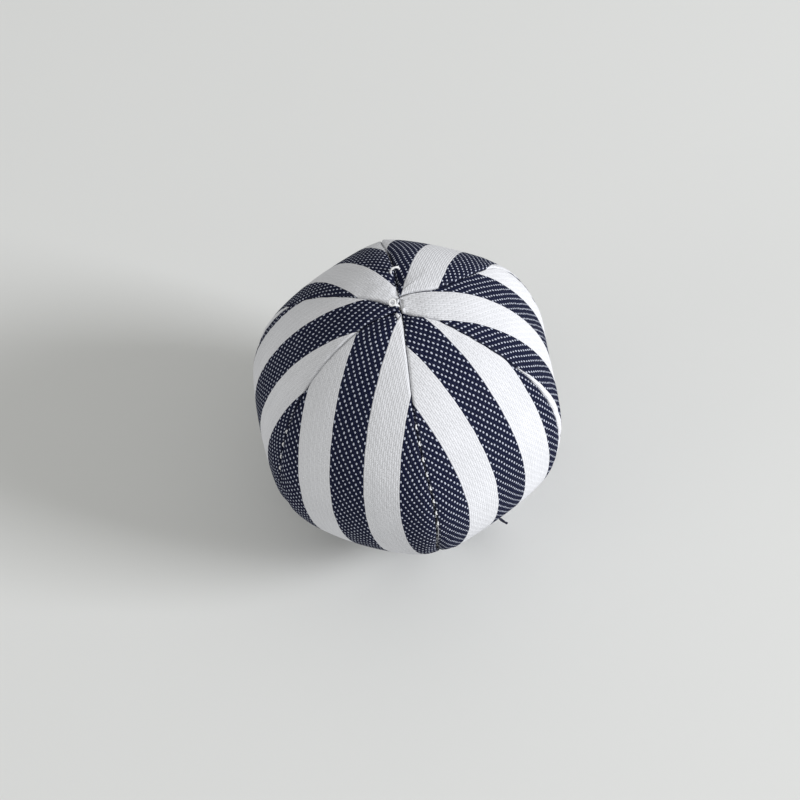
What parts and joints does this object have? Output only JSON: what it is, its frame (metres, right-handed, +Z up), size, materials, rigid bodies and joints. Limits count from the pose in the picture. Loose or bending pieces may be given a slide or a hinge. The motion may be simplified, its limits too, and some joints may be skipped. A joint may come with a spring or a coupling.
{
  "type": "juggling ball",
  "caption": "Sewn cloth juggling ball of pointed striped panels that meet at a knotted top, round a loose filling, resting on a small flattened patch.",
  "frame": {"origin": "middle of the flattened patch that the ball rests on", "axes": "+Z up through both places where the panels' tips meet; the first seam faces -Y"},
  "size_m": [0.06, 0.062, 0.0586],
  "materials": {
    "striped_twill": "yarn-dyed twill in equal navy and white stripes, matt",
    "machine_thread": "spun sewing thread, off-white",
    "hand_thread": "spun hand-sewing thread, white",
    "filling_pellets": "loose small pellets"
  },
  "bodies": {
    "root": {"panel_1": "striped_twill", "panel_2": "striped_twill", "panel_3": "striped_twill", "panel_4": "striped_twill", "panel_5": "striped_twill", "panel_6": "striped_twill", "needle_thread_1": "machine_thread", "needle_thread_2": "machine_thread", "needle_thread_3": "machine_thread", "needle_thread_4": "machine_thread", "needle_thread_5": "machine_thread", "needle_thread_6": "machine_thread", "bobbin_thread_1": "machine_thread", "bobbin_thread_2": "machine_thread", "bobbin_thread_3": "machine_thread", "bobbin_thread_4": "machine_thread", "bobbin_thread_5": "machine_thread", "bobbin_thread_6": "machine_thread", "closing_thread": "hand_thread", "top_knot": "hand_thread", "bottom_knot": "machine_thread", "filling": "filling_pellets"}
  },
  "joints": []
}
